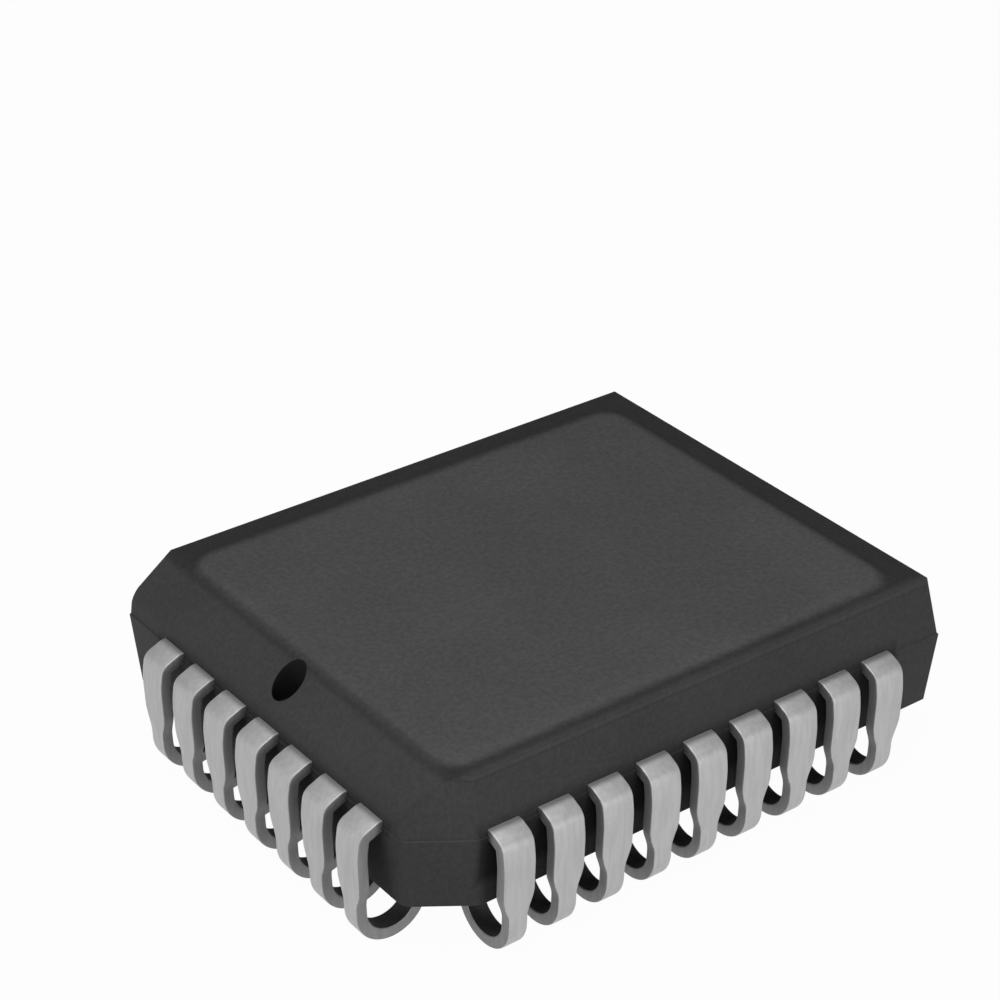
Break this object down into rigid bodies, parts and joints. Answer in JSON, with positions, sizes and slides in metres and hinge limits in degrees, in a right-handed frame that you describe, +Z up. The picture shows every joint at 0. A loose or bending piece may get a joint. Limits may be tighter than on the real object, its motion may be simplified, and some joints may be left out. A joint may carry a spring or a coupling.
{
  "type": "plastic memory chip",
  "caption": "Square-cornered dark plastic chip carrier with J-bent leads on all four sides, a sloped pin-1 side with a round dimple and one cut corner.",
  "frame": {"origin": "on the seating plane under the centre of the body", "axes": "+X along the long side, away from the sloped pin-1 side; +Y along the short side, away from the cut corner; +Z up, out of the bare top face"},
  "size_m": [0.0152, 0.0126, 0.0045],
  "materials": {
    "mould_compound": "matt dark grey epoxy moulding compound",
    "tin_plated_lead": "matt tin plate on copper alloy strip",
    "lead_frame": "silver-plated copper alloy strip",
    "silver_epoxy": "cured silver-filled adhesive",
    "silicon": "polished silicon with passivation",
    "gold_wire": "drawn gold wire"
  },
  "bodies": {
    "root": {"moulded_body": "mould_compound", "lead_01": "tin_plated_lead", "lead_02": "tin_plated_lead", "lead_03": "tin_plated_lead", "lead_04": "tin_plated_lead", "lead_05": "tin_plated_lead", "lead_06": "tin_plated_lead", "lead_07": "tin_plated_lead", "lead_08": "tin_plated_lead", "lead_09": "tin_plated_lead", "lead_10": "tin_plated_lead", "lead_11": "tin_plated_lead", "lead_12": "tin_plated_lead", "lead_13": "tin_plated_lead", "lead_14": "tin_plated_lead", "lead_15": "tin_plated_lead", "lead_16": "tin_plated_lead", "lead_17": "tin_plated_lead", "lead_18": "tin_plated_lead", "lead_19": "tin_plated_lead", "lead_20": "tin_plated_lead", "lead_21": "tin_plated_lead", "lead_22": "tin_plated_lead", "lead_23": "tin_plated_lead", "lead_24": "tin_plated_lead", "lead_25": "tin_plated_lead", "lead_26": "tin_plated_lead", "lead_27": "tin_plated_lead", "lead_28": "tin_plated_lead", "lead_29": "tin_plated_lead", "lead_30": "tin_plated_lead", "lead_31": "tin_plated_lead", "lead_32": "tin_plated_lead", "die_paddle": "lead_frame", "die_attach": "silver_epoxy", "silicon_die": "silicon", "bond_wires_front": "gold_wire", "bond_wires_right": "gold_wire", "bond_wires_back": "gold_wire", "bond_wires_pin1": "gold_wire"}
  },
  "joints": []
}
